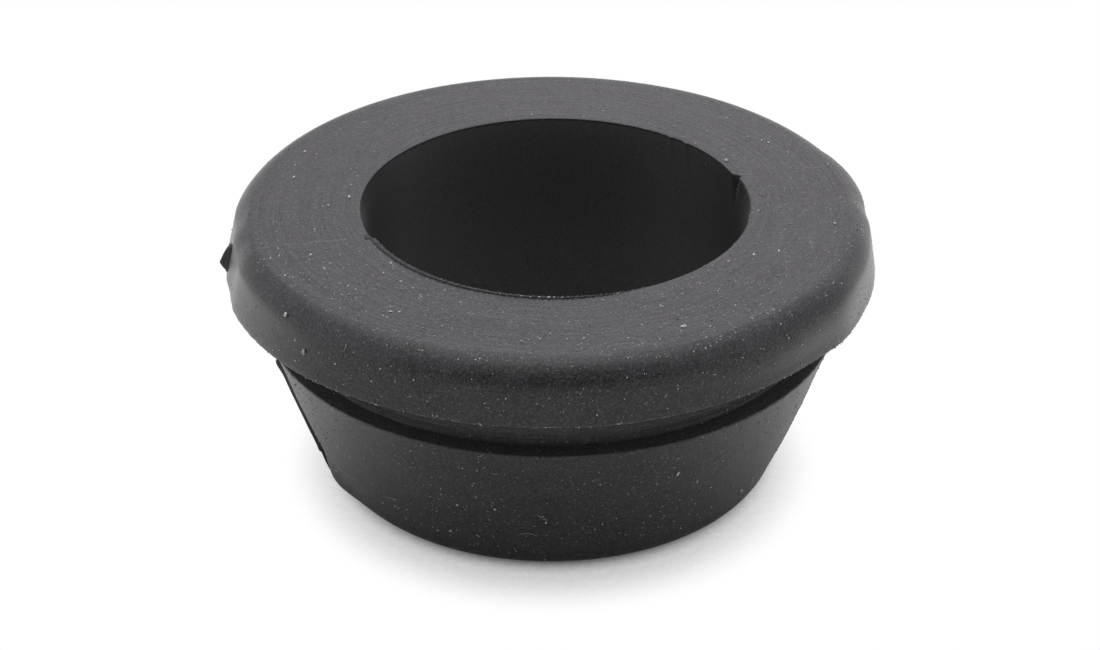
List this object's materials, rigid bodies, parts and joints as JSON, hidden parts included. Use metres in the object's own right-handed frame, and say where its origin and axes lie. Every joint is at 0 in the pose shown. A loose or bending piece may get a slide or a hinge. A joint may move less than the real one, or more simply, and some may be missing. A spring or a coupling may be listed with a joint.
{
  "type": "rubber grommet",
  "caption": "Black moulded rubber grommet with a wide flange, a panel groove, a tapered barb and a straight through bore.",
  "frame": {"origin": "centre of the bore at the foot's flat underside", "axes": "+Z along the bore's axis, from the narrow foot up to the wide flange; the mould's parting plane is the XZ plane, with its flash on the -X side"},
  "size_m": [0.0433, 0.0432, 0.0188],
  "materials": {
    "rubber": "matte"
  },
  "bodies": {
    "root": {"grommet": "rubber"}
  },
  "joints": []
}
